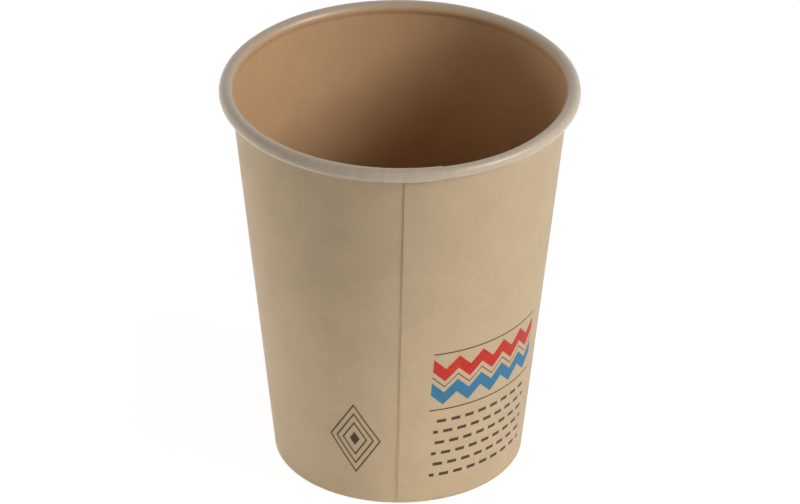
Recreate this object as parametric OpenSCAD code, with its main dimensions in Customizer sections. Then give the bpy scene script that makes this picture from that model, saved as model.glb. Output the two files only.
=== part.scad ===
// Rolled-rim paper cup: one conical board wall, lapped and sealed down its side,
// rolled outwards at the rim and folded inwards at the foot round the skirt of a
// separate bottom disc. The axis is +Z, and the foot stands on z = 0.

/* [Cup] */
// Diameter over the rolled rim
rim_d = 80; // [70:1:100]
// Height from the table to the top of the rim
height = 92; // [60:1:140]
// Diameter over the foot
base_d = 56; // [44:1:64]

/* [Side wall] */
// Thickness of the wall's board
wall_t = 0.4; // [0.3:0.02:0.5]
// Diameter of the rim's roll, in section
bead_d = 3.3; // [2.8:0.1:3.8]
// How far the roll stands in from the wall's inner face
neck_in = 0.3; // [0.1:0.05:0.4]
// How far the roll turns on past its underside, into itself, in degrees
roll_turn = 200; // [120:5:240]
// Clear space between the wall and the roll's inner turn
roll_gap = 0.05; // [0.02:0.01:0.1]
// Depth by which the folded foot is pressed flat
foot_press = 0.05; // [0.02:0.01:0.12]

/* [Side seam] */
// Width of the overlap between the two ends of the wall's board
lap_w = 8; // [5:0.5:12]
// How much thinner the sealing press leaves the overlap
lap_squeeze = 0.1; // [0.06:0.01:0.16]
// Turn from +X to the middle of the overlap, in degrees
lap_azimuth = 277.9; // [0:0.1:360]
// Turn over which the outer end of the board eases back into the round wall, in degrees
lap_ease = 60; // [40:1:80]

/* [Bottom] */
// Thickness of the bottom's board
bottom_t = 0.35; // [0.25:0.01:0.5]
// Height of the bottom's underside above the table
recess_h = 8.5; // [6:0.1:14]
// Inside radius of the bend between the bottom and its skirt
bend_r = 0.3; // [0.2:0.05:0.6]
// Clear space between the lower edge of the skirt and the foot's fold
skirt_end_gap = 0.8; // [0.4:0.1:2]
// Clear space between the upper edge of the wall's hem and the bottom
hem_end_gap = 1.6; // [1:0.1:3]
// Film of sealant on each face of the skirt
seal_gap = 0.03; // [0.02:0.005:0.06]

/* [Hidden] */
$fn = 128;
board_colour = "#c0a682";
lining_colour = "#a98a65";
// Largest turn between the corners of the outline that cuts an arc from a ring
arc_step = 30;
// Angles between which the two arcs of the bottom's bend overlap
bend_join = [30, 60];

// The wall's own axes: x outwards across the board and y up its slope, from the
// middle of the foot's fold.
bead_r = bead_d / 2;
fold_gap = bottom_t + 2 * seal_gap;
fold_r = wall_t + fold_gap / 2;
fold_middle = [base_d / 2 - fold_r, fold_r - foot_press];
bead_middle = [rim_d / 2 - bead_r, height - bead_r];
rise = bead_middle - fold_middle;
wall_inside = fold_r - wall_t;
bead_x = wall_inside + bead_r - neck_in;
lean = atan2(rise.x, rise.y) - asin(bead_x / norm(rise));
bead_y = rise.x * sin(lean) + rise.y * cos(lean);

// The wall runs straight into the roll at its neck, where the middles of the two cross.
roll_mid_r = bead_r - wall_t / 2;
neck_turn = acos((roll_mid_r - neck_in) / roll_mid_r);
wall_len = bead_y - roll_mid_r * sin(neck_turn);

// The roll's inner turn runs clear of the wall by the roll's gap.
inner_turn_step = wall_t + neck_in + roll_gap;
inner_turn_r = bead_r - inner_turn_step;

// The board's inner end is part of the round wall. Its outer end stands out over it by
// one board, less what the press takes.
lap_step = wall_t - lap_squeeze;
lap_depth = lap_step + lap_squeeze / 3;
lap_end_step = lap_squeeze / 5;
lap_turn = lap_ease + asin(lap_w / base_d);
lap_shift = (lap_step - lap_end_step) / (1 - cos(lap_turn));
lap_foot = wall_t / 2;
lap_floor = (recess_h + bottom_t + bend_r - fold_middle.y) / cos(lean);
lap_top = bead_y - bead_r;

// The bottom's bend lies inside its skirt and below its disc.
bend_x = -bottom_t / 2 - bend_r;
bend_y = (recess_h - bend_r - fold_middle.y + bend_x * sin(lean)) / cos(lean);
bend_middle = [fold_middle.x + bend_x * cos(lean) + bend_y * sin(lean), recess_h - bend_r];
skirt_len = bend_y - skirt_end_gap;
hem_len = (recess_h - hem_end_gap - fold_middle.y) / cos(lean);

// Moves a shape from the wall's own axes to the cup's section
module on_slope() {
    translate(fold_middle) rotate(-lean) children();
}

// A strip of board bent to an arc about the origin, from one angle to another
module bent_strip(outer_r, board_t, from, to) {
    reach = 2 * outer_r;
    steps = ceil(abs(to - from) / arc_step);
    turn = (to - from) / steps;
    intersection() {
        difference() {
            circle(outer_r);
            circle(outer_r - board_t);
        }
        polygon(concat([[0, 0]], [
            for (i = [0 : steps]) reach * [cos(from + i * turn), sin(from + i * turn)]
        ]));
    }
}

// Section of the wall's board: hem, fold, wall, neck and the roll at the rim
module wall_section() {
    difference() {
        on_slope() {
            translate([-fold_r, 0]) square([wall_t, hem_len]);
            bent_strip(fold_r, wall_t, 180, 360);
            translate([wall_inside, 0]) square([wall_t, wall_len]);
            translate([bead_x, bead_y]) bent_strip(bead_r, wall_t, -90, 180 + neck_turn);
            translate([bead_x, bead_y - inner_turn_step])
                bent_strip(inner_turn_r, wall_t, -90 - roll_turn, -90);
        }
        translate([0, -fold_r]) square([base_d, fold_r]);
    }
}

// A layer whose outer face stands out from a face of the wall by the lap's step, at half
// the lap's width before +X, and eases back into that face round a slightly shifted axis.
// It starts at edge_y and runs on anticlockwise.
module eased_layer(face_x, from_y, to_y, edge_y) {
    axis_at = -lap_shift * [cos(lap_ease), sin(lap_ease), 0];
    layer_x = face_x + lap_end_step + lap_shift - lap_depth;
    difference() {
        translate(axis_at) rotate([0, 0, -lap_ease]) rotate_extrude(angle = 2 * lap_ease)
            on_slope() translate([layer_x, from_y]) square([lap_depth, to_y - from_y]);
        translate([0, edge_y - rim_d, 0]) cube([rim_d, rim_d, height]);
    }
}

module side_wall() {
    color(board_colour) {
        difference() {
            rotate_extrude() wall_section();
            rotate([0, 0, lap_azimuth])
                eased_layer(wall_inside, lap_floor, wall_len, lap_w / 2);
        }
        rotate([0, 0, lap_azimuth])
            eased_layer(fold_r, lap_foot, lap_top - lap_squeeze, -lap_w / 2);
    }
}

// Section of the bottom: a flat disc, its bend and the skirt inside the wall's fold
module bottom_section() {
    bend_out_r = bend_r + bottom_t;
    translate([0, recess_h]) square([bend_middle.x, bottom_t]);
    translate(bend_middle) {
        bent_strip(bend_out_r, bottom_t, bend_join[0], 90);
        rotate(-lean) {
            bent_strip(bend_out_r, bottom_t, 0, bend_join[1]);
            translate([bend_r, -skirt_len]) square([bottom_t, skirt_len]);
        }
    }
}

module bottom() {
    color(lining_colour) rotate_extrude() bottom_section();
}

side_wall();
bottom();
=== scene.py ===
"""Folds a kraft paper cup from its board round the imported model, and lights it on a pale floor."""

import math

import bmesh
import bpy
from mathutils import Matrix, Vector


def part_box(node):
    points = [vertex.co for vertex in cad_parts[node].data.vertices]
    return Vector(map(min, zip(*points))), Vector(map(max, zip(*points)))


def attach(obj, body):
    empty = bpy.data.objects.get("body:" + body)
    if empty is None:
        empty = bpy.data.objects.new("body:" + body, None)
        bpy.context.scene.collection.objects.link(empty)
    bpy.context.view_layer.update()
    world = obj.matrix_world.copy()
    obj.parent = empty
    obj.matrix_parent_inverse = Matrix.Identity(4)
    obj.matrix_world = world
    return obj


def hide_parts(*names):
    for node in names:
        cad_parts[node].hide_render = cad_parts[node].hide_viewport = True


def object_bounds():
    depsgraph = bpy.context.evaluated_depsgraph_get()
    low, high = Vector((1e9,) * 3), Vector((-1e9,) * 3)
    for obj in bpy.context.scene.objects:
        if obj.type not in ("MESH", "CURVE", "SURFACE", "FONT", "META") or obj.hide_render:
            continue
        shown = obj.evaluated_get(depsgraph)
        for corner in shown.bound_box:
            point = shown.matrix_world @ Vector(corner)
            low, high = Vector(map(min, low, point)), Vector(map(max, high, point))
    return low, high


bl_info = {
    "name": "Kraft Paper Cup",
    "version": (1, 0, 0),
    "blender": (4, 5, 0),
    "location": "View3D > Sidebar > Paper Cup",
    "description": "Folds a paper cup from its board and lights it in a plain studio",
    "category": "Add Mesh",
}

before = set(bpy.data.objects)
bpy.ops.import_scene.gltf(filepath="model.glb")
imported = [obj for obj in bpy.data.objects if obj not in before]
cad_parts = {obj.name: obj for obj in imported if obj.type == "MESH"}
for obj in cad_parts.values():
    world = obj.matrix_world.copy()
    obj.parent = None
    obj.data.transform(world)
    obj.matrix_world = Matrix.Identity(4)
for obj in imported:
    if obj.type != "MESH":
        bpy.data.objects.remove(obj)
CAD_LOW, CAD_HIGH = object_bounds()
WALL_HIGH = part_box("side_wall")[1]

MM = 0.001
UP = Vector((0.0, 0.0, 1.0))
LINED = -1.0
KRAFT = 1.0

# The board is swept a little short of a full turn, so its two ends stay apart until they are lapped
SWEEP = math.radians(359.0)
WALL_RINGS = 400
BOTTOM_RINGS = 192

# Mean level of the crossed fibres' noise
MEAN_FIBRE = 0.58
WHITE = (1.0, 1.0, 1.0, 1.0)


def length(label, description, default):
    """A property that holds a length in metres."""
    return bpy.props.FloatProperty(
        name=label, description=description, default=default, min=0.0, precision=5, unit="LENGTH"
    )


def angle(label, description, degrees):
    """A property that holds an angle, given in degrees."""
    return bpy.props.FloatProperty(
        name=label, description=description, default=math.radians(degrees), subtype="ANGLE"
    )


def amount(label, description, default):
    """A property that holds a plain number."""
    return bpy.props.FloatProperty(
        name=label, description=description, default=default, min=0.0, precision=3
    )


def colour(label, description, code):
    """A property that holds a colour, given as six hexadecimal digits of the screen's values."""
    return bpy.props.FloatVectorProperty(
        name=label, description=description, default=linear(code), min=0.0, max=1.0, subtype="COLOR"
    )


def linear(code):
    """The linear red, green and blue of a screen colour."""
    levels = [int(code[i : i + 2], 16) / 255 for i in (0, 2, 4)]
    return tuple(v / 12.92 if v <= 0.04045 else ((v + 0.055) / 1.055) ** 2.4 for v in levels)


def ramp(value, start, end):
    """Zero before start, one after end, and a smooth rise between them."""
    part = min(max((value - start) / (end - start), 0.0), 1.0)
    return part * part * (3.0 - 2.0 * part)


class CupSizes(bpy.types.PropertyGroup):
    """Sizes of the cup, its board and its folds"""

    rim_radius: length("Rim Radius", "Radius over the rolled rim", WALL_HIGH.x)
    height: length("Height", "Height over the rolled rim", WALL_HIGH.z)
    foot_radius: length("Foot Radius", "Radius over the foot", 28.0 * MM)
    board: length("Wall Board", "Thickness of the wall's board", 0.4 * MM)
    bead_radius: length("Bead Radius", "Radius of the rim's roll", 1.65 * MM)
    neck: length("Neck", "How far the roll stands in from the wall's inner face", 0.3 * MM)
    neck_radius: length("Neck Radius", "Inner radius of the bend under the roll", 1.5 * MM)
    roll_turn: angle("Inner Turn", "How far the roll goes on inside itself", 200.0)
    roll_gap: length("Roll Gap", "Clearance between the turns of the roll", 0.05 * MM)
    foot_press: length("Foot Press", "Depth that the foot is pressed flat", 0.05 * MM)
    lap_width: length("Lap Width", "Width over which the wall's two ends overlap", 8.0 * MM)
    lap_place: angle("Lap Place", "Middle of the lap, turned from the front to the right", 7.9)
    lap_step: length("Lap Step", "Height of the step that the outer end makes", 0.22 * MM)
    lap_ease: angle("Lap Ease", "Turn over which the outer end settles on the round", 60.0)
    bottom_board: length("Bottom Board", "Thickness of the bottom's board", 0.35 * MM)
    recess: length("Recess", "Height of the bottom's underside above the foot", 8.5 * MM)
    bend_radius: length("Bend Radius", "Inner radius of the bottom's bend", 0.3 * MM)
    skirt_gap: length("Skirt Gap", "Room under the bottom's skirt in the fold", 0.8 * MM)
    hem_gap: length("Hem Gap", "Room between the hem's end and the bottom", 1.6 * MM)
    seal_gap: length("Seal Gap", "Clearance on each side of the skirt", 0.03 * MM)
    knurl_depth: length("Knurl Depth", "Depth of the pressed grooves on the hem", 0.12 * MM)
    knurl_count: bpy.props.IntProperty(
        name="Knurl Count", description="Pressed grooves round the hem", default=100, min=1
    )
    rim_unevenness: length("Rim Unevenness", "How far the roll's size wanders", 0.06 * MM)


class CupColours(bpy.types.PropertyGroup):
    """Colours of the board, its lining and its inks"""

    kraft: colour("Kraft", "Bare face of the board", "c4ac8a")
    lining: colour("Lining", "Film on the inner face of the board", "c9a37a")
    rim: colour("Rim", "Film where it is stretched over the roll", "c2b09a")
    cut: colour("Cut Edge", "Cut edge of the board", "9c7c56")
    brown_ink: colour("Brown Ink", "Ink of the fine lines", "39240b")
    red_ink: colour("Red Ink", "Ink of the upper zigzag", "bb200c")
    blue_ink: colour("Blue Ink", "Ink of the lower zigzag", "276f92")


class CupPrint(bpy.types.PropertyGroup):
    """Places and sizes of the printed ornament"""

    lozenge_place: angle("Lozenge Place", "Middle of the lozenge, turned from the front", -19.0)
    lozenge_height: length("Lozenge Height", "Height of the lozenge's middle", 16.8 * MM)
    lozenge_reach: length("Lozenge Reach", "Half of the lozenge's height", 9.4 * MM)
    zigzag_place: angle("Zigzag Place", "Middle of the zigzags, turned from the front", 41.0)
    zigzag_height: length("Zigzag Height", "Height of the zigzags' middle", 33.0 * MM)
    zigzag_width: length("Zigzag Width", "Width of the zigzag bands", 30.0 * MM)
    dash_height: length("Dash Height", "Height of the middle of the rows of dashes", 14.6 * MM)
    line: length("Line", "Width of the printed lines", 0.34 * MM)


class Studio(bpy.types.PropertyGroup):
    """Camera, lamps and surroundings"""

    distance: length("Distance", "Distance of the camera from its aim", 1489.3 * MM)
    elevation: angle("Elevation", "Angle of the camera above the horizon", 30.389)
    roll: angle("Roll", "Turn of the camera about its view", 0.29)
    aim_height: length("Aim Height", "Height of the point that the camera looks at", 48.8 * MM)
    sideways: length("Sideways", "Move of the camera to the right", 0.186 * MM)
    lens: amount("Lens", "Focal length of the camera in millimetres", 299.66)
    key_power: amount("Key Power", "Watts of the lamp on the right", 6.6)
    side_power: amount("Side Power", "Watts of the low lamp on the left", 2.5)
    foot_power: amount("Foot Power", "Watts of the narrow lamp in front that lights the foot", 0.0103)
    floor_front: amount("Floor Front", "Watts of the lamp on the floor in front of the foot", 0.32)
    floor_left: amount("Floor Left", "Watts of the lamp on the floor to the left of the foot", 0.02)
    sky: amount("Sky", "Light from all round", 0.38)
    floor_glow: amount("Floor Glow", "How much of the floor's white doesn't depend on light", 0.8)


class WallPlan:
    """The bent wall board, worked out from the cup's sizes."""

    def __init__(self, sizes):
        self.sizes = sizes
        self.board = sizes.board
        self.bead = sizes.bead_radius
        self.fold = sizes.board + sizes.bottom_board / 2 + sizes.seal_gap
        self.inside = self.fold - self.board
        self.bead_x = self.inside + self.bead - sizes.neck
        self.foot = Vector((sizes.foot_radius - self.fold, 0.0, self.fold - sizes.foot_press))
        rise = Vector((sizes.rim_radius - self.bead, 0.0, sizes.height - self.bead)) - self.foot
        self.lean = math.atan2(rise.x, rise.z) - math.asin(self.bead_x / rise.length)
        self.bead_up = rise.x * math.sin(self.lean) + rise.z * math.cos(self.lean)
        bends = sizes.neck_radius + self.bead
        self.neck_turn = math.acos(1 - sizes.neck / bends)
        self.length = self.bead_up - bends * math.sin(self.neck_turn)
        self.roll_run = self.length + self.neck_turn * (sizes.neck_radius + self.board / 2)
        self.hem = (sizes.recess - sizes.hem_gap - self.foot.z) / math.cos(self.lean)
        self.fold_run = math.pi * (self.fold - self.board / 2)
        self.hem_end = -self.hem - self.fold_run
        self.slope = Matrix.Translation(self.foot) @ Matrix.Rotation(self.lean, 4, "Y")
        self.under_roll = self.bead_up - self.bead
        self.foot_zone = 0.6 * MM
        self.rim_zone = 0.95 * MM

    def radius(self, run):
        """Radius of the wall's middle at a distance up the slope."""
        up = min(max(run, 0.0), self.length)
        middle = self.inside + self.board / 2
        return self.foot.x + middle * math.cos(self.lean) + up * math.sin(self.lean)

    def lapped(self, run):
        """One where the two ends overlap, and zero where they butt, in the roll and the fold."""
        top = self.under_roll
        return ramp(run, 0.0, self.foot_zone) * (1 - ramp(run, top - self.rim_zone, top))

    def on_hem(self, run):
        """One along the hem, and zero at its end and in the fold."""
        fold = -self.fold_run
        return ramp(run, self.hem_end, self.hem_end + 0.6 * MM) * (1 - ramp(run, fold - MM, fold))

    def pressed(self, run):
        """One over all of the overlap, where the two ends share the lap's thickness."""
        fade = 0.3 * MM
        return ramp(run, -fade, 0.0) * (1 - ramp(run, self.under_roll, self.under_roll + fade))


class BoardStrip:
    """The section of a bent board, extruded edge by edge in the XZ plane."""

    def __init__(self, mesh, lined, kraft, run):
        self.mesh = mesh
        self.side = mesh.verts.layers.float.new("side")
        self.run_mark = mesh.verts.layers.float.new("run")
        self.turn = mesh.verts.layers.float.new("turn")
        self.across = mesh.verts.layers.float_vector.new("across")
        self.run = run
        ends = mesh.verts.new(lined), mesh.verts.new(kraft)
        for vert, side in zip(ends, (LINED, KRAFT)):
            vert[self.side] = side
            vert[self.run_mark] = run
        self.edge = mesh.edges.new(ends)
        self.cross_edges = [self.edge]

    def step(self, matrix, gain):
        """Extrudes the last cross edge and moves it on."""
        made = bmesh.ops.extrude_edge_only(self.mesh, edges=[self.edge])["geom"]
        ends = [item for item in made if isinstance(item, bmesh.types.BMVert)]
        edges = [item for item in made if isinstance(item, bmesh.types.BMEdge)]
        bmesh.ops.transform(self.mesh, matrix=matrix, verts=ends)
        self.edge = next(edge for edge in edges if all(vert in ends for vert in edge.verts))
        self.cross_edges.append(self.edge)
        self.run += gain
        for vert in ends:
            vert[self.run_mark] = self.run

    def straight(self, direction, distance, steps):
        """Carries the board straight on."""
        move = Matrix.Translation(Vector(direction) * distance / steps)
        for _ in range(steps):
            self.step(move, distance / steps)

    def bend(self, centre, turn, steps):
        """Bends the board round a centre, clockwise where the turn is positive."""
        centre = Vector(centre)
        middle = (self.edge.verts[0].co + self.edge.verts[1].co) / 2
        gain = abs(turn) * (middle - centre).length / steps
        there, back = Matrix.Translation(centre), Matrix.Translation(-centre)
        move = there @ Matrix.Rotation(turn / steps, 4, "Y") @ back
        for _ in range(steps):
            self.step(move, gain)

    def place(self, matrix):
        """Moves all of the section drawn so far."""
        bmesh.ops.transform(self.mesh, matrix=matrix, verts=self.mesh.verts[:])

    def mark_across(self):
        """Notes at each vertex the way from the lined face to the kraft face."""
        for edge in self.cross_edges:
            lined, kraft = sorted(edge.verts, key=lambda vert: vert[self.side])
            way = (kraft.co - lined.co).normalized()
            lined[self.across] = way
            kraft[self.across] = way


def draw_wall(mesh, plan):
    """Draws the wall's board from the hem's end, round the foot, up the side and into the rim."""
    sizes = plan.sizes
    lined = Vector((-plan.inside, 0.0, plan.hem))
    kraft = Vector((-plan.fold, 0.0, plan.hem))
    strip = BoardStrip(mesh, lined, kraft, plan.hem_end)
    strip.straight(-UP, plan.hem, 6)
    strip.bend((0.0, 0.0, 0.0), -math.pi, 12)
    strip.straight(UP, plan.foot_zone, 2)
    strip.straight(UP, plan.under_roll - plan.foot_zone - plan.rim_zone, 24)
    strip.straight(UP, plan.rim_zone, 3)
    strip.straight(UP, plan.length - plan.under_roll, 2)
    strip.bend((plan.inside - sizes.neck_radius, 0.0, plan.length), -plan.neck_turn, 5)
    strip.bend((plan.bead_x, 0.0, plan.bead_up), math.radians(270.0) + plan.neck_turn, 30)
    inner_middle = plan.bead_up - plan.board - sizes.neck - sizes.roll_gap
    strip.bend((plan.bead_x, 0.0, inner_middle), sizes.roll_turn, 14)
    strip.place(plan.slope)
    strip.mark_across()
    for vert in mesh.verts:
        vert.co.z = max(vert.co.z, 0.0)
    return strip


def roll_wander(turn):
    """How the size of the roll wanders round the rim, from zero to one."""
    waves = ((3, 0.4, 0.30), (7, 2.1, 0.25), (13, 4.0, 0.22), (29, 1.3, 0.23))
    return 0.5 + 0.5 * sum(part * math.cos(count * turn + phase) for count, phase, part in waves)


def lap_wall(mesh, strip, plan):
    """Wraps the swept board so that its two ends lap, and presses the knurl into the hem."""
    sizes = plan.sizes
    clearance = 0.005 * MM
    pinch = sizes.board - sizes.lap_step + clearance
    butt_gap = 0.03 * MM
    step_rise = 1.5 * MM
    settle = math.radians(3.0)
    for vert in mesh.verts:
        run = vert[strip.run_mark]
        kraft_side = vert[strip.side] == KRAFT
        part = (math.atan2(vert.co.y, vert.co.x) % math.tau) / SWEEP
        radius = plan.radius(run)
        lap = 2 * math.asin(sizes.lap_width / 2 / radius)
        lapped = plan.lapped(run)
        inner_end = sizes.lap_place + lap / 2
        outer_end = inner_end - lap * lapped + butt_gap / radius * (1 - lapped)
        span = math.tau + inner_end - outer_end
        turn = outer_end + part * span
        past_outer_end = part * span
        lift = sizes.lap_step * ramp(run, 0.0, step_rise)
        lift *= 1 - ramp(past_outer_end, lap, lap + sizes.lap_ease)
        if not kraft_side:
            lift += pinch * plan.pressed(run) * (1 - ramp(past_outer_end, lap, lap + settle))
        rolled = ramp(run, plan.roll_run, plan.roll_run + plan.bead)
        lift += sizes.rim_unevenness * roll_wander(turn) * rolled
        if kraft_side:
            groove = 0.5 - 0.5 * math.cos(sizes.knurl_count * turn)
            lift -= sizes.knurl_depth * plan.on_hem(run) * groove
        out, rise = vert[strip.across].x * lift, vert[strip.across].z * lift
        reach = math.hypot(vert.co.x, vert.co.y) + out
        vert[strip.turn] = turn
        vert.co = (reach * math.sin(turn), -reach * math.cos(turn), vert.co.z + rise)


def map_wall(mesh, strip, plan):
    """Lays out the flat blank in metres, and marks each place by its turn and its run up the slope."""
    blank = mesh.loops.layers.uv.new("blank")
    place = mesh.loops.layers.uv.new("place")
    slope = math.sin(plan.lean)
    apex = plan.radius(0.0) / slope
    for face in mesh.faces:
        middle = sum(loop.vert[strip.turn] for loop in face.loops) / len(face.loops)
        whole_turn = math.tau if middle > math.pi else 0.0
        for loop in face.loops:
            turn, run = loop.vert[strip.turn], loop.vert[strip.run_mark]
            fan = (turn - math.pi) * slope
            loop[blank].uv = ((apex + run) * math.sin(fan), (apex + run) * math.cos(fan))
            loop[place].uv = (turn - whole_turn, run)


def give_sides(mesh, strip):
    """Gives each face the finish of its side, and keeps the board's cut edges sharp."""
    for face in mesh.faces:
        sides = {vert[strip.side] for vert in face.verts}
        face.material_index = 2 if len(sides) > 1 else (0 if KRAFT in sides else 1)
        face.smooth = True
    for edge in mesh.edges:
        edge.smooth = len({face.material_index for face in edge.link_faces}) == 1


def finish_piece(mesh, name, node, finishes):
    """Makes the object of a piece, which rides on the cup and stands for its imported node."""
    data = bpy.data.meshes.new(name)
    mesh.to_mesh(data)
    mesh.free()
    for material in finishes:
        data.materials.append(material)
    piece = bpy.data.objects.new(name, data)
    bpy.context.scene.collection.objects.link(piece)
    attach(piece, "root")
    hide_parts(node)
    return piece


def both_ways(operation):
    """The plain and the reflected form of one operation on shader values."""

    def plain(self, other):
        return self.nodes.maths(operation, self, other)

    def reflected(self, other):
        return self.nodes.maths(operation, other, self)

    return plain, reflected


class Wire:
    """A shader value that Python expressions can use."""

    __add__, __radd__ = both_ways("ADD")
    __sub__, __rsub__ = both_ways("SUBTRACT")
    __mul__, __rmul__ = both_ways("MULTIPLY")
    __truediv__, __rtruediv__ = both_ways("DIVIDE")

    def __init__(self, nodes, socket):
        self.nodes = nodes
        self.socket = socket

    def __abs__(self):
        return self.nodes.maths("ABSOLUTE", self)

    def clipped(self):
        """The value held between zero and one."""
        return self.nodes.maths("ADD", self, 0.0, clamp=True)

    def within(self, half, soft):
        """One where the value is less than half away from zero, with a soft edge."""
        return ((half - abs(self)) / soft + 0.5).clipped()


class Nodes:
    """A node tree, and the few ways in which nodes are added to it."""

    def __init__(self, tree):
        self.tree = tree

    def node(self, kind, settings, sockets, output=0):
        """Adds a node, sets its settings first and its sockets next, and gives one output."""
        made = self.tree.nodes.new(kind)
        for name, value in settings.items():
            setattr(made, name, value)
        for key, value in sockets.items():
            self.feed(made.inputs[key], value)
        return Wire(self, made.outputs[output])

    def feed(self, socket, value):
        """Links a value to a socket, or sets the socket where the value is plain."""
        if isinstance(value, Wire):
            self.tree.links.new(value.socket, socket)
        else:
            socket.default_value = value

    def beside(self, wire, output):
        """Another output of the node that a value comes from."""
        return Wire(self, wire.socket.node.outputs[output])

    def maths(self, operation, *values, clamp=False):
        """A Math node on one or more values."""
        settings = {"operation": operation, "use_clamp": clamp}
        return self.node("ShaderNodeMath", settings, dict(enumerate(values)))

    def noise(self, vector, scale, detail=2.0, roughness=0.5):
        """Soft noise, whose scale counts its features in a metre."""
        sockets = {"Vector": vector, "Scale": scale, "Detail": detail, "Roughness": roughness}
        return self.node("ShaderNodeTexNoise", {}, sockets)

    def stretched(self, vector, turn, scale):
        """The coordinates turned in the plane and scaled."""
        sockets = {"Vector": vector, "Rotation": (0.0, 0.0, turn), "Scale": scale}
        return self.node("ShaderNodeMapping", {}, sockets)

    def blend(self, factor, first, second):
        """A colour between two others."""
        settings = {"data_type": "RGBA"}
        return self.node("ShaderNodeMix", settings, {0: factor, 6: first, 7: second}, output=2)

    def uv(self, name):
        """The coordinates of one of the piece's own maps."""
        return self.node("ShaderNodeUVMap", {"uv_map": name}, {})

    def object_place(self):
        """The coordinates of the piece itself."""
        return self.node("ShaderNodeTexCoord", {}, {}, output="Object")

    def showing_rays(self):
        """One for the rays that show the background, straight or by gloss or through glass."""
        rays = self.node("ShaderNodeLightPath", {}, {}, output="Is Camera Ray")
        seen = self.maths("MAXIMUM", rays, self.beside(rays, "Is Glossy Ray"))
        return self.maths("MAXIMUM", seen, self.beside(rays, "Is Transmission Ray"))


class Finish(Nodes):
    """A material on one Principled shader."""

    def __init__(self, name):
        self.material = bpy.data.materials.new(name)
        self.material.use_nodes = True
        super().__init__(self.material.node_tree)
        self.shader = self.tree.nodes["Principled BSDF"]

    def set(self, **values):
        """Feeds the shader's sockets, named with underscores for spaces."""
        for name, value in values.items():
            self.feed(self.shader.inputs[name.replace("_", " ")], value)

    def relief(self, height, strength, depth):
        """Bumps the surface by a height from zero to one."""
        sockets = {"Height": height, "Strength": strength, "Distance": depth}
        self.set(Normal=self.node("ShaderNodeBump", {}, sockets))


def shade(code, factor):
    """A colour made darker or lighter, with the fourth value that sockets ask for."""
    return tuple(min(value * factor, 1.0) for value in code) + (1.0,)


def board_grain(finish, vector):
    """The clouds, the fine mottling and the crossed fibres of the board, each about one half."""
    clouds = finish.noise(vector, 110.0, 3.0, 0.55)
    mottle = finish.noise(vector, 900.0, 2.0, 0.6)
    wander = finish.node("ShaderNodeTexNoise", {}, {"Vector": vector, "Scale": 160.0}, output="Color")
    settings = {"operation": "SCALE"}
    drift = finish.node("ShaderNodeVectorMath", settings, {0: wander, "Scale": 4.0 * MM})
    bent = finish.node("ShaderNodeVectorMath", {"operation": "ADD"}, {0: vector, 1: drift})
    first = finish.noise(finish.stretched(bent, 0.35, (330.0, 3300.0, 330.0)), 1.0, 1.0)
    second = finish.noise(finish.stretched(bent, -0.5, (3600.0, 420.0, 420.0)), 1.0, 1.0)
    return clouds, mottle, finish.maths("MAXIMUM", first, second)


def board_tone(grain, cloudy, mottled, fibrous):
    """How light the board is, about one half, with the shares of its clouds, mottling and fibres."""
    clouds, mottle, fibres = grain
    patches = (clouds - 0.5) * cloudy
    specks = (mottle - 0.5) * mottled
    return (0.5 + patches + specks + (fibres - MEAN_FIBRE) * fibrous).clipped()


def strongest(finish, masks):
    """The largest of several masks."""
    largest = masks[0]
    for mask in masks[1:]:
        largest = finish.maths("MAXIMUM", largest, mask)
    return largest


def lozenge_lines(finish, turn, run, radius, ornament):
    """The nested lozenges of fine lines on the left of the lap."""
    across = (turn - ornament.lozenge_place) * radius / ornament.lozenge_reach
    up = (run - ornament.lozenge_height) / ornament.lozenge_reach
    slimness = 1.6
    size = abs(across) * slimness + abs(up)
    line = ornament.line / ornament.lozenge_reach
    soft = line * 0.5
    rings = [(size - ring).within(line, soft) for ring in (0.98, 0.72, 0.46)]
    heart = size.within(0.2, soft)
    return strongest(finish, rings + [heart])


def zigzag_bands(finish, turn, run, radius, ornament):
    """The red band, the blue band and the brown lines of the zigzags on the right of the lap."""
    across = (turn - ornament.zigzag_place) * radius
    up = run - ornament.zigzag_height
    soft = 0.12 * MM
    wave = 3.0 * MM
    band_height, band_half = 3.2 * MM, 1.7 * MM
    rule_height = 7.7 * MM
    inside = across.within(ornament.zigzag_width / 2, soft)
    zigzag = up - finish.maths("PINGPONG", across, wave) + wave / 2
    red = (zigzag - band_height).within(band_half, soft) * inside
    blue = (zigzag + band_height).within(band_half, soft) * inside
    heights = (zigzag, up + rule_height, up - rule_height)
    brown = strongest(finish, [height.within(ornament.line / 2, soft) for height in heights])
    return red, blue, brown * inside


def dash_rows(finish, turn, run, radius, ornament):
    """The staggered rows of short brown dashes below the zigzags."""
    across = (turn - ornament.zigzag_place) * radius
    up = run - ornament.dash_height
    soft = 0.12 * MM
    row_pitch, row_half = 3.0 * MM, 0.42 * MM
    dash_pitch, dash_half = 3.4 * MM, 1.1 * MM
    field_half_width, field_half_height = 13.6 * MM, 9.0 * MM
    row = finish.maths("FLOOR", up / row_pitch)
    in_row = up - (row + 0.5) * row_pitch
    shifted = across + row * dash_pitch / 2
    in_dash = shifted - (finish.maths("FLOOR", shifted / dash_pitch) + 0.5) * dash_pitch
    dashes = in_row.within(row_half, soft) * in_dash.within(dash_half, soft)
    field = across.within(field_half_width, soft) * up.within(field_half_height, soft)
    return dashes * field


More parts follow.
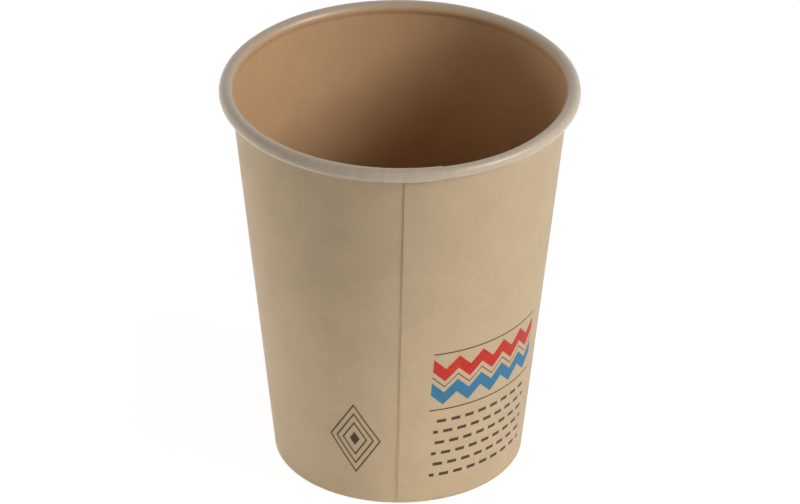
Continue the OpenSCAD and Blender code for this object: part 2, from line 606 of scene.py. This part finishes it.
def kraft_finish(name, vector_name, colours, plan, ornament):
    """The bare kraft face, with the printed ornament where one is asked for."""
    finish = Finish(name)
    vector = finish.uv(vector_name) if vector_name else finish.object_place()
    grain = board_grain(finish, vector)
    mottle, fibres = grain[1:]
    tone = board_tone(grain, cloudy=0.9, mottled=0.35, fibrous=0.6)
    board = finish.blend(tone, shade(colours.kraft, 0.86), shade(colours.kraft, 1.12))
    rare, sharpness, strength = 0.765, 14.0, 0.55
    flecks = ((finish.noise(vector, 1500.0, 1.0) - rare) * sharpness).clipped() * strength
    board = finish.blend(flecks, board, shade(colours.cut, 0.7))
    if ornament:
        place = finish.node("ShaderNodeSeparateXYZ", {}, {0: finish.uv("place")})
        turn, run = place, finish.beside(place, 1)
        radius = run * math.sin(plan.lean) + plan.radius(0.0)
        cover = (1.02 - (fibres - 0.5) * 0.25 - (mottle - 0.5) * 0.2).clipped()
        red, blue, brown = zigzag_bands(finish, turn, run, radius, ornament)
        lozenge = lozenge_lines(finish, turn, run, radius, ornament)
        dashes = dash_rows(finish, turn, run, radius, ornament)
        lines = strongest(finish, [brown, lozenge, dashes])
        board = finish.blend(red * cover, board, shade(colours.red_ink, 1.0))
        board = finish.blend(blue * cover, board, shade(colours.blue_ink, 1.0))
        board = finish.blend(lines * cover, board, shade(colours.brown_ink, 1.0))
    finish.set(Base_Color=board, Roughness=0.56 + (mottle - 0.5) * 0.2, Specular_IOR_Level=0.38)
    finish.relief(mottle * 0.5 + fibres * 0.5, 0.22, 0.06 * MM)
    return finish.material


def lined_finish(name, vector_name, colours, plan):
    """The filmed face inside the cup, which wrinkles and shines where it is rolled into the rim, with
    painted light on the roll's outer, lower side.
    """
    finish = Finish(name)
    vector = finish.uv(vector_name) if vector_name else finish.object_place()
    grain = board_grain(finish, vector)
    clouds, mottle = grain[:2]
    tone = board_tone(grain, cloudy=0.8, mottled=0.25, fibrous=0.4)
    film = finish.blend(tone, shade(colours.lining, 0.88), shade(colours.lining, 1.1))
    height = mottle * 0.4 + clouds * 0.6
    rough = 0.46 + (clouds - 0.5) * 0.2
    depth = 0.05 * MM
    gloss = 0.03
    if plan:
        place = finish.uv("place")
        run = finish.beside(finish.node("ShaderNodeSeparateXYZ", {}, {0: place}), 1)
        past_neck = run - plan.roll_run
        crimp_fade, pale_start, pale_fade = 0.8 * MM, 0.6 * MM, 1.8 * MM
        rolled = (past_neck / crimp_fade).clipped()
        paled = ((past_neck - pale_start) / pale_fade).clipped()
        crimp = finish.noise(finish.stretched(place, 0.0, (34.0, 260.0, 1.0)), 1.0, 3.0, 0.6)
        # Painted light: the rim film's colour grows lighter round the roll towards its outer, lower
        # side and darker towards its top, standing in for light from the floor below; the crimp's
        # mottling on it is real
        outwards = past_neck / (plan.bead * math.pi)
        painted_light_middle, painted_light_rise = 0.7, 0.75
        crimp_and_painted_light = (crimp + (outwards - painted_light_middle) * painted_light_rise).clipped()
        stretched = finish.blend(crimp_and_painted_light, shade(colours.rim, 0.84), shade(colours.rim, 1.12))
        film = finish.blend(paled, film, stretched)
        height = height * (1 - rolled) + crimp * rolled * 2.0
        rough = rough - rolled * 0.1
        gloss = gloss + rolled * 0.75
        depth = 0.1 * MM
    finish.set(Base_Color=film, Roughness=rough, Specular_IOR_Level=0.22)
    finish.set(Coat_Weight=gloss, Coat_Roughness=0.37)
    finish.relief(height, 0.3, depth)
    return finish.material


def cut_finish(colours):
    """The cut edge of the board, where its layers show."""
    finish = Finish("cut_board_edge")
    grain = finish.noise(finish.object_place(), 2600.0, 3.0, 0.7)
    layers = finish.blend(grain, shade(colours.cut, 0.75), shade(colours.cut, 1.2))
    finish.set(Base_Color=layers, Roughness=0.85)
    finish.relief(grain, 0.4, 0.05 * MM)
    return finish.material


def floor_finish(studio):
    """A pale floor that reads white to the camera and still takes the cup's shadow."""
    finish = Finish("pale_floor")
    cloud = finish.noise(finish.object_place(), 3.0, 2.0)
    pale = finish.blend(cloud, (0.9, 0.9, 0.9, 1.0), (0.94, 0.94, 0.94, 1.0))
    finish.set(Base_Color=pale, Roughness=0.9, Specular_IOR_Level=0.1)
    seen = finish.showing_rays()
    glow = finish.node("ShaderNodeEmission", {}, {"Color": WHITE, "Strength": 1.16})
    lit = Wire(finish, finish.shader.outputs[0])
    mixed = finish.node("ShaderNodeMixShader", {}, {0: seen * studio.floor_glow, 1: lit, 2: glow})
    finish.feed(finish.tree.nodes["Material Output"].inputs["Surface"], mixed)
    return finish.material


class PAPERCUP_OT_side_wall(bpy.types.Operator):
    """Fold, lap and roll the side wall from one blank of board"""

    bl_idname = "paper_cup.side_wall"
    bl_label = "Side Wall"

    def execute(self, context):
        scene = context.scene
        plan = WallPlan(scene.cup_sizes)
        mesh = bmesh.new()
        strip = draw_wall(mesh, plan)
        section = mesh.verts[:] + mesh.edges[:] + mesh.faces[:]
        bmesh.ops.spin(mesh, geom=section, axis=UP, angle=SWEEP, steps=WALL_RINGS)
        lap_wall(mesh, strip, plan)
        bmesh.ops.recalc_face_normals(mesh, faces=mesh.faces[:])
        map_wall(mesh, strip, plan)
        give_sides(mesh, strip)
        colours = scene.cup_colours
        finishes = [
            kraft_finish("printed_kraft", "blank", colours, plan, scene.cup_print),
            lined_finish("wall_lining", "blank", colours, plan),
            cut_finish(colours),
        ]
        finish_piece(mesh, "folded_side_wall", "side_wall", finishes)
        return {"FINISHED"}


class PAPERCUP_OT_bottom(bpy.types.Operator):
    """Draw the bottom disc and bend its skirt down into the wall's fold"""

    bl_idname = "paper_cup.bottom"
    bl_label = "Bottom"

    def execute(self, context):
        scene = context.scene
        sizes = scene.cup_sizes
        plan = WallPlan(sizes)
        half = sizes.bottom_board / 2
        bend_x = -half - sizes.bend_radius
        bend_height = sizes.recess - sizes.bend_radius
        bend_up = bend_height - plan.foot.z + bend_x * math.sin(plan.lean)
        bend_up /= math.cos(plan.lean)
        bend_middle = plan.slope @ Vector((bend_x, 0.0, bend_up))
        mesh = bmesh.new()
        lined, kraft = Vector((half, 0.0, sizes.skirt_gap)), Vector((-half, 0.0, sizes.skirt_gap))
        strip = BoardStrip(mesh, lined, kraft, 0.0)
        strip.straight(UP, bend_up - sizes.skirt_gap, 8)
        strip.place(plan.slope)
        strip.bend(bend_middle, -math.pi / 2 - plan.lean, 10)
        strip.straight((-1.0, 0.0, 0.0), bend_middle.x, 16)
        inner_edges = [edge for edge in mesh.edges if not edge.is_boundary]
        bmesh.ops.delete(mesh, geom=inner_edges + [strip.edge], context="EDGES")
        outline = mesh.verts[:] + mesh.edges[:]
        bmesh.ops.spin(
            mesh, geom=outline, axis=UP, angle=math.tau, steps=BOTTOM_RINGS, use_merge=True
        )
        bmesh.ops.remove_doubles(mesh, verts=mesh.verts[:], dist=0.0005 * MM)
        bmesh.ops.recalc_face_normals(mesh, faces=mesh.faces[:])
        give_sides(mesh, strip)
        colours = scene.cup_colours
        finishes = [
            kraft_finish("plain_kraft", "", colours, plan, None),
            lined_finish("bottom_lining", "", colours, None),
            cut_finish(colours),
        ]
        finish_piece(mesh, "recessed_bottom", "bottom", finishes)
        return {"FINISHED"}


class PAPERCUP_OT_studio(bpy.types.Operator):
    """Set up the floor, the lamps, the surroundings and the camera"""

    bl_idname = "paper_cup.studio"
    bl_label = "Studio"

    def execute(self, context):
        scene = context.scene
        studio = scene.cup_studio
        scene.view_settings.view_transform = "Standard"
        self.add_floor(scene, studio)
        self.light_cup(scene, studio)
        self.light_floor(scene, studio)
        self.add_surroundings(scene, studio)
        self.add_camera(scene, studio)
        return {"FINISHED"}

    def add_floor(self, scene, studio):
        """Lays a wide floor just under the foot."""
        mesh = bmesh.new()
        below = Matrix.Translation((0.0, 0.0, CAD_LOW.z - 0.02 * MM))
        bmesh.ops.create_grid(mesh, x_segments=2, y_segments=2, size=6.0, matrix=below)
        data = bpy.data.meshes.new("studio_floor")
        mesh.to_mesh(data)
        mesh.free()
        data.materials.append(floor_finish(studio))
        floor = bpy.data.objects.new("studio_floor", data)
        scene.collection.objects.link(floor)

    def light_cup(self, scene, studio):
        """Hangs the key lamp, the low side lamp and the narrow lamp that lights the foot."""
        cup = studio.aim_height * UP
        key_place, key_sizes = (0.81, -0.385, 0.56), (0.42, 0.42)
        self.add_lamp(scene, "key_lamp", key_place, cup, key_sizes, studio.key_power, in_gloss=True)
        self.add_lamp(scene, "side_lamp", (-0.72, 0.34, 0.14), cup, (0.3, 0.3), studio.side_power)
        foot_place, foot_sizes = (-0.1, -1.2, 0.03), (0.12, 0.03)
        below_foot, narrow = -0.02 * UP, math.radians(9.0)
        self.add_lamp(
            scene, "foot_lamp", foot_place, below_foot, foot_sizes, studio.foot_power, narrow
        )

    def light_floor(self, scene, studio):
        """Hangs two lamps that light a strip of floor each, in front of the foot and to its left."""
        front, left = Vector((0.0, -0.085, 0.0)), Vector((-0.085, 0.0, 0.0))
        above, beam = 0.4 * UP, math.radians(5.0)
        strips = (
            ("floor_front", front, (0.3, 0.03), studio.floor_front),
            ("floor_left", left, (0.03, 0.3), studio.floor_left),
        )
        for name, place, sizes, power in strips:
            self.add_lamp(scene, name, place + above, place, sizes, power, beam)

    def add_lamp(self, scene, name, place, aim, sizes, power, spread=math.pi, in_gloss=False):
        """Hangs a soft lamp that faces a point, and shows in gloss only where that is asked for."""
        data = bpy.data.lights.new(name, "AREA")
        data.shape = "RECTANGLE"
        data.size, data.size_y = sizes
        data.energy = power
        data.spread = spread
        lamp = bpy.data.objects.new(name, data)
        lamp.location = place
        lamp.visible_camera = False
        lamp.visible_glossy = in_gloss
        facing = aim - lamp.location
        lamp.rotation_euler = facing.to_track_quat("-Z", "Y").to_euler()
        scene.collection.objects.link(lamp)

    def add_surroundings(self, scene, studio):
        """Lights from all round, and shows white to the camera and to gloss."""
        world = bpy.data.worlds.new("pale_surroundings")
        world.use_nodes = True
        scene.world = world
        nodes = Nodes(world.node_tree)
        seen = nodes.showing_rays()
        light = Wire(nodes, nodes.tree.nodes["Background"].outputs[0])
        nodes.feed(light.socket.node.inputs["Color"], WHITE)
        way = nodes.node("ShaderNodeTexCoord", {}, {}, output="Generated")
        up = nodes.beside(nodes.node("ShaderNodeSeparateXYZ", {}, {0: way}), 2)
        dim_from, dim_over, dimming = 0.5, 0.3, 0.9
        overhead = ((up - dim_from) / dim_over).clipped()
        nodes.feed(light.socket.node.inputs["Strength"], (1 - overhead * dimming) * studio.sky)
        shown = nodes.node("ShaderNodeBackground", {}, {"Color": WHITE, "Strength": 1.0})
        mixed = nodes.node("ShaderNodeMixShader", {}, {0: seen, 1: light, 2: shown})
        nodes.feed(nodes.tree.nodes["World Output"].inputs["Surface"], mixed)

    def add_camera(self, scene, studio):
        """Places the camera at the viewing angle of the photograph."""
        data = bpy.data.cameras.new("studio_camera")
        data.sensor_width = 36.0
        data.lens = studio.lens
        data.clip_start = 0.01
        data.clip_end = 50.0
        camera = bpy.data.objects.new("studio_camera", data)
        aim = Matrix.Translation((studio.sideways, 0.0, studio.aim_height))
        tilt = Matrix.Rotation(math.pi / 2 - studio.elevation, 4, "X")
        back = Matrix.Translation((0.0, 0.0, studio.distance))
        camera.matrix_world = aim @ tilt @ back @ Matrix.Rotation(studio.roll, 4, "Z")
        scene.collection.objects.link(camera)
        scene.camera = camera


class PAPERCUP_PT_sidebar(bpy.types.Panel):
    """Lists the cup's pieces and their settings"""

    bl_label = "Paper Cup"
    bl_space_type = "VIEW_3D"
    bl_region_type = "UI"
    bl_category = "Paper Cup"

    def draw(self, context):
        layout = self.layout
        for operator in OPERATORS:
            layout.operator(operator.bl_idname)
        for name, group in GROUPS.items():
            box = layout.box()
            for prop in group.__annotations__:
                box.prop(getattr(context.scene, name), prop)


OPERATORS = (PAPERCUP_OT_side_wall, PAPERCUP_OT_bottom, PAPERCUP_OT_studio)
GROUPS = {
    "cup_sizes": CupSizes,
    "cup_colours": CupColours,
    "cup_print": CupPrint,
    "cup_studio": Studio,
}
CLASSES = (*GROUPS.values(), *OPERATORS, PAPERCUP_PT_sidebar)


def register():
    """Registers the classes and hangs their settings on the scene."""
    for item in CLASSES:
        bpy.utils.register_class(item)
    for name, group in GROUPS.items():
        setattr(bpy.types.Scene, name, bpy.props.PointerProperty(type=group))


def unregister():
    """Takes the settings and the classes away again."""
    for name in GROUPS:
        delattr(bpy.types.Scene, name)
    for item in reversed(CLASSES):
        bpy.utils.unregister_class(item)


def main():
    """Builds the cup and its studio."""
    register()
    bpy.ops.paper_cup.side_wall()
    bpy.ops.paper_cup.bottom()
    bpy.ops.paper_cup.studio()


if __name__ == "__main__":
    main()
